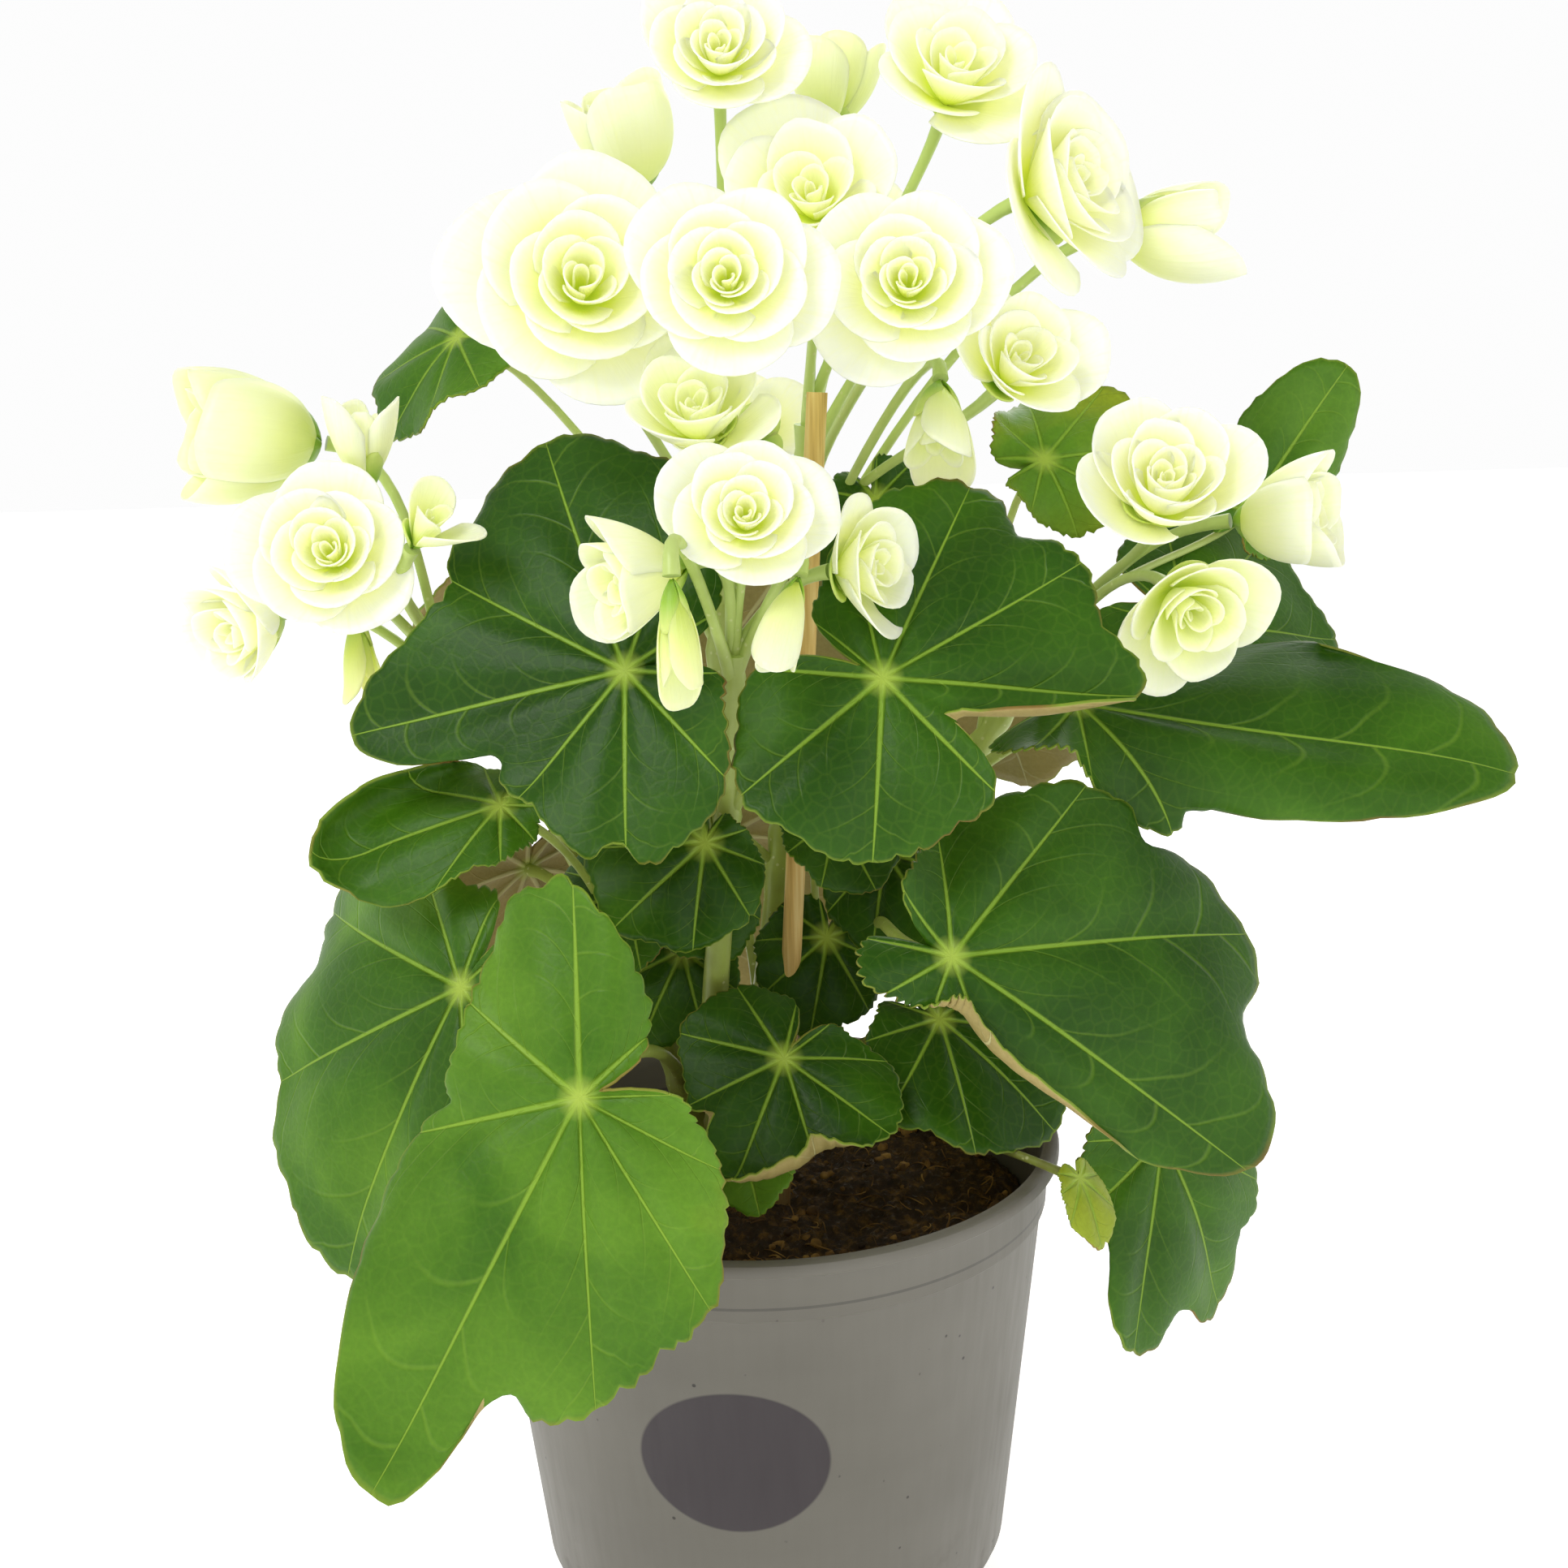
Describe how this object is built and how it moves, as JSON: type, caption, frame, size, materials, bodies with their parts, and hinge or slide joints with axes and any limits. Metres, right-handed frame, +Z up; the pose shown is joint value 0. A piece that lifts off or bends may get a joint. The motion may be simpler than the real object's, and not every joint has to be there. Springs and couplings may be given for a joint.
{
  "type": "potted begonia",
  "caption": "Potted begonia with white double, rose-shaped flowers over toothed green leaves, in a round grey plastic grower's pot with peat soil and a thin wooden stake.",
  "frame": {"origin": "centre of the pot's underside, where it stands on a surface", "axes": "+Z up along the pot's axis; +X to the right and -Y towards the viewer of the side that shows the plant best"},
  "size_m": [0.2725, 0.1962, 0.3474],
  "materials": {
    "pot": "satin",
    "soil": "matte",
    "stake": "matte",
    "stem": "satin",
    "leaf": "satin",
    "petal": "matte"
  },
  "bodies": {
    "root": {"pot": "pot", "soil": "soil", "stake": "stake", "stems": "stem", "leaf_front_left": "leaf", "leaf_outer_left": "leaf", "leaf_upper_left": "leaf", "leaf_centre": "leaf", "leaf_lower_right": "leaf", "leaf_low_centre": "leaf", "leaf_far_right": "leaf", "leaf_behind_right": "leaf", "leaf_low_right": "leaf", "leaf_soil_right": "leaf", "leaf_upper_right": "leaf", "leaf_far_top": "leaf", "leaf_high_left": "leaf", "leaf_middle_left": "leaf", "leaf_inner_left": "leaf", "leaf_inner_right": "leaf", "leaf_rim": "leaf", "leaf_crest": "leaf", "leaf_soil_front": "leaf", "leaf_back_left_high": "leaf", "leaf_back_high": "leaf", "leaf_back_right_high": "leaf", "leaf_back_left_low": "leaf", "leaf_back_low": "leaf", "leaf_back_right_low": "leaf", "leaf_back_small": "leaf", "bloom_top": "petal", "bloom_top_left": "petal", "bloom_left": "petal", "bloom_middle": "petal", "bloom_right": "petal", "bloom_top_right": "petal", "bloom_inner": "petal", "bloom_right_side": "petal", "bloom_back_top": "petal", "bud_far_right": "petal", "bloom_right_low": "petal", "bud_right_hanging": "petal", "bloom_middle_low": "petal", "bloom_front": "petal", "bloom_front_right": "petal", "bud_front_right": "petal", "bloom_front_left": "petal", "bud_front_left": "petal", "bloom_far_left": "petal", "bud_far_left": "petal", "bloom_left_cluster": "petal", "bloom_left_low": "petal", "bud_left_low": "petal", "bud_left_inner": "petal", "bloom_right_cluster": "petal", "bloom_far_right": "petal", "bloom_right_hanging": "petal", "bloom_behind_left": "petal", "bloom_behind_right": "petal", "bloom_behind_low": "petal"}
  },
  "joints": []
}
